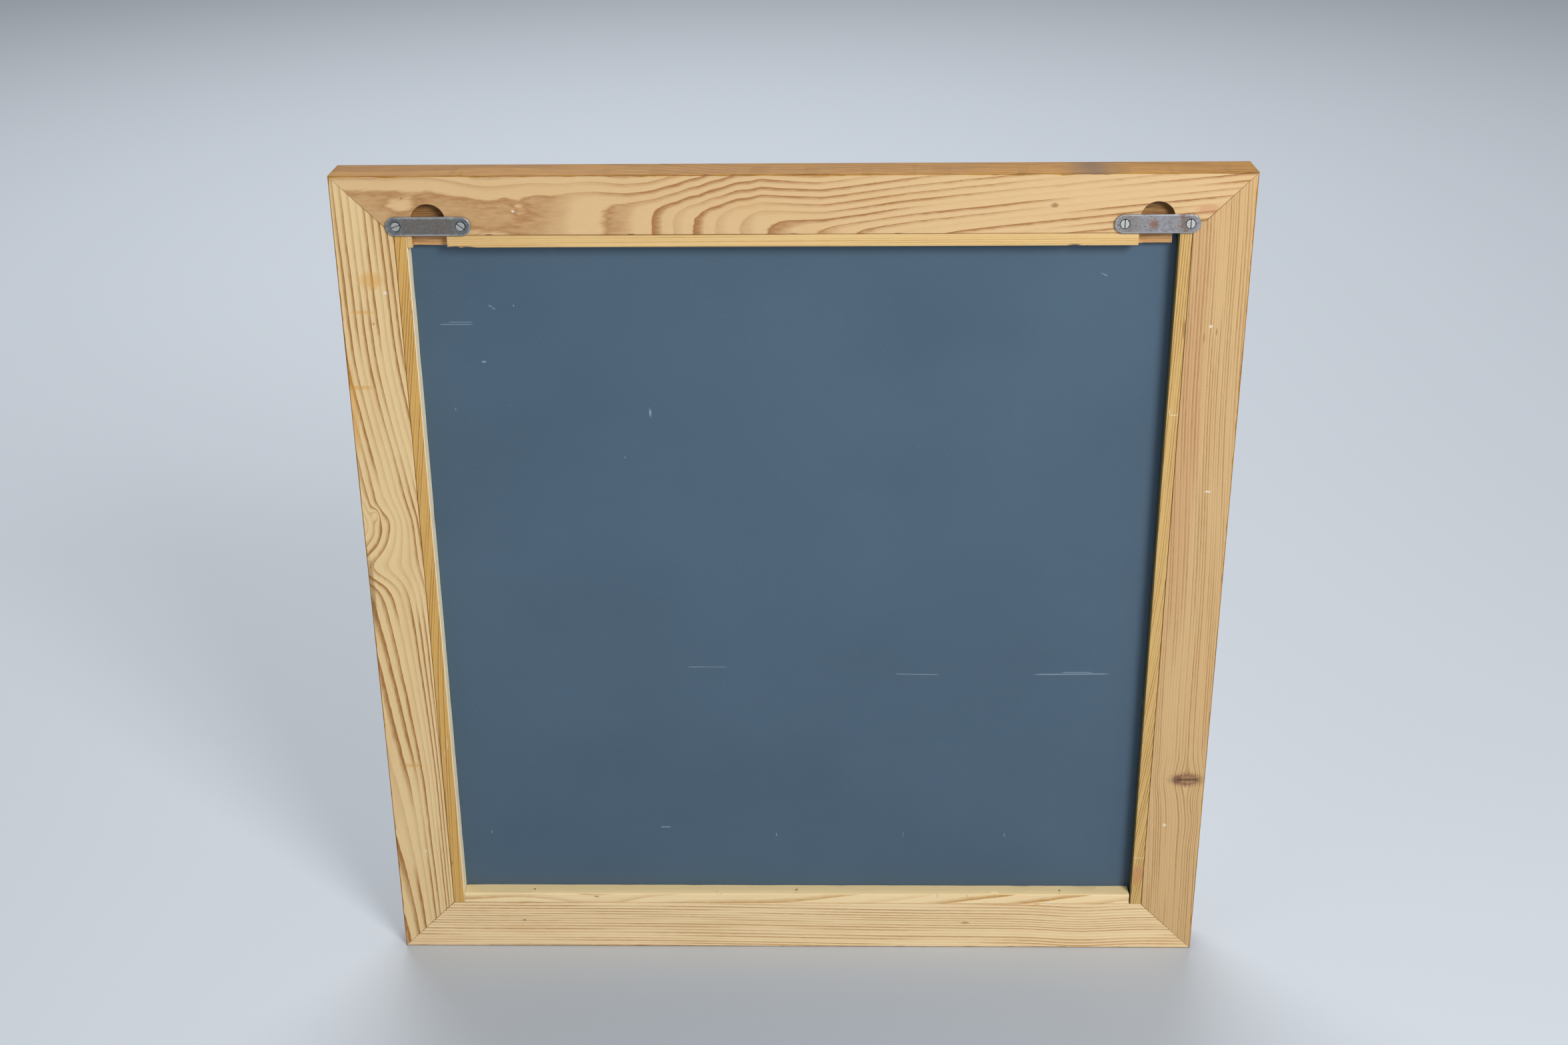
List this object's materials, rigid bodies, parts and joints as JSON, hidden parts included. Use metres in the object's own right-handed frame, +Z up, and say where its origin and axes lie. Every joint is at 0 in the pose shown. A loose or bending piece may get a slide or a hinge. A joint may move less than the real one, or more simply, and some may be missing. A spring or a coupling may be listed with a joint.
{
  "type": "framed wall mirror",
  "caption": "Square wall mirror in a solid pine frame, with the pane held by pinned wooden beads and steel hanger plates across hook slots in the back.",
  "frame": {"origin": "middle of the frame's bottom edge, halfway between the front face and the outer face of the hanger plates", "axes": "+Z up as it hangs, +Y out of the back towards the wall, -Y out of the mirror, +X to the right as seen from the front; left and right in node names are as seen from the front"},
  "size_m": [0.6, 0.038, 0.6],
  "materials": {
    "pine_rail": "clear-lacquered pine, honey-brown outside, pale and dry on the back",
    "pine_bead": "bare pine, yellowed",
    "mirror_pane": "silvered float glass, blue-grey protective paint on its back",
    "plate_steel": "zinc-plated, dull, with rust stains",
    "screw_steel": "zinc-plated, worn bright",
    "pin_steel": "bare wire",
    "dowel_beech": "plain turned hardwood"
  },
  "bodies": {
    "root": {"top_rail": "pine_rail", "bottom_rail": "pine_rail", "left_rail": "pine_rail", "right_rail": "pine_rail", "top_bead": "pine_bead", "bottom_bead": "pine_bead", "left_bead": "pine_bead", "right_bead": "pine_bead", "mirror_pane": "mirror_pane", "left_hanger_plate": "plate_steel", "right_hanger_plate": "plate_steel", "left_hanger_screw_1": "screw_steel", "left_hanger_screw_2": "screw_steel", "right_hanger_screw_1": "screw_steel", "right_hanger_screw_2": "screw_steel", "top_bead_pin_1": "pin_steel", "top_bead_pin_2": "pin_steel", "top_bead_pin_3": "pin_steel", "bottom_bead_pin_1": "pin_steel", "bottom_bead_pin_2": "pin_steel", "bottom_bead_pin_3": "pin_steel", "left_bead_pin_1": "pin_steel", "left_bead_pin_2": "pin_steel", "left_bead_pin_3": "pin_steel", "right_bead_pin_1": "pin_steel", "right_bead_pin_2": "pin_steel", "right_bead_pin_3": "pin_steel", "top_left_dowel_1": "dowel_beech", "top_left_dowel_2": "dowel_beech", "top_right_dowel_1": "dowel_beech", "top_right_dowel_2": "dowel_beech", "bottom_left_dowel_1": "dowel_beech", "bottom_left_dowel_2": "dowel_beech", "bottom_right_dowel_1": "dowel_beech", "bottom_right_dowel_2": "dowel_beech"}
  },
  "joints": []
}
